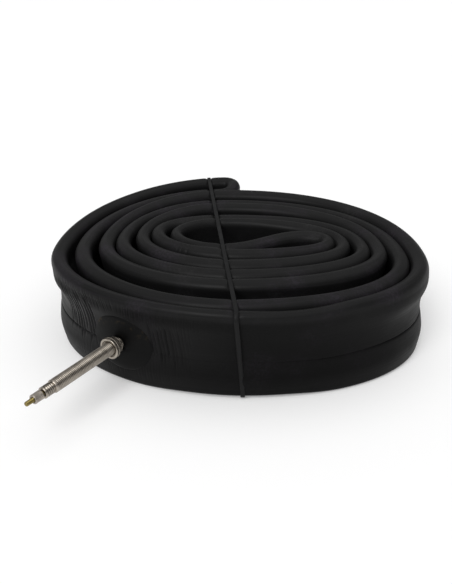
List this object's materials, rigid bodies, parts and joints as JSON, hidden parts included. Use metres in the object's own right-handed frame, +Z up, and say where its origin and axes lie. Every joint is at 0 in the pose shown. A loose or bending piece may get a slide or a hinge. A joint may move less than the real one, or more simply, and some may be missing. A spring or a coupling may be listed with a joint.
{
  "type": "bicycle inner tube",
  "caption": "Bicycle inner tube pressed flat, rolled up on edge and held by a thin rubber band, with a long threaded metal valve, a knurled rim nut and a brass valve pin.",
  "frame": {"origin": "on the floor, under the middle of the box round the roll and its valve", "axes": "+Z up across the flat tube's width; -Y is the front of the roll, with the valve pointing to the front left (-X, -Y)"},
  "size_m": [0.1804, 0.1988, 0.0459],
  "materials": {
    "butyl_rubber": "satin black with a faint talc bloom",
    "band_rubber": "satin dark grey",
    "seal_rubber": "matt",
    "nickel": "turned brass with warm grey nickel plating",
    "brass": "turned, threaded, slightly dull"
  },
  "bodies": {
    "roll": {"tube": "butyl_rubber", "valve_pad": "butyl_rubber", "valve_stem": "nickel", "core_body": "nickel", "core_gasket": "seal_rubber", "rubber_band": "band_rubber"},
    "rim_nut": {"rim_nut": "nickel"},
    "core_pin": {"core_pin": "brass", "pin_seal": "seal_rubber"},
    "lock_nut": {"lock_nut": "nickel"}
  },
  "joints": [
    {"name": "rim_nut_travel", "type": "slide", "parent": "roll", "child": "rim_nut", "axis": [-0.5664, -0.8241, 0], "range_m": [-0.0002, 0.0334]},
    {"name": "pin_press", "type": "slide", "parent": "roll", "child": "core_pin", "axis": [0.5664, 0.8241, 0], "range_m": [0, 0.00055]},
    {"name": "lock_nut_travel", "type": "slide", "parent": "core_pin", "child": "lock_nut", "axis": [-0.5664, -0.8241, 0], "range_m": [0, 0.0036]}
  ]
}
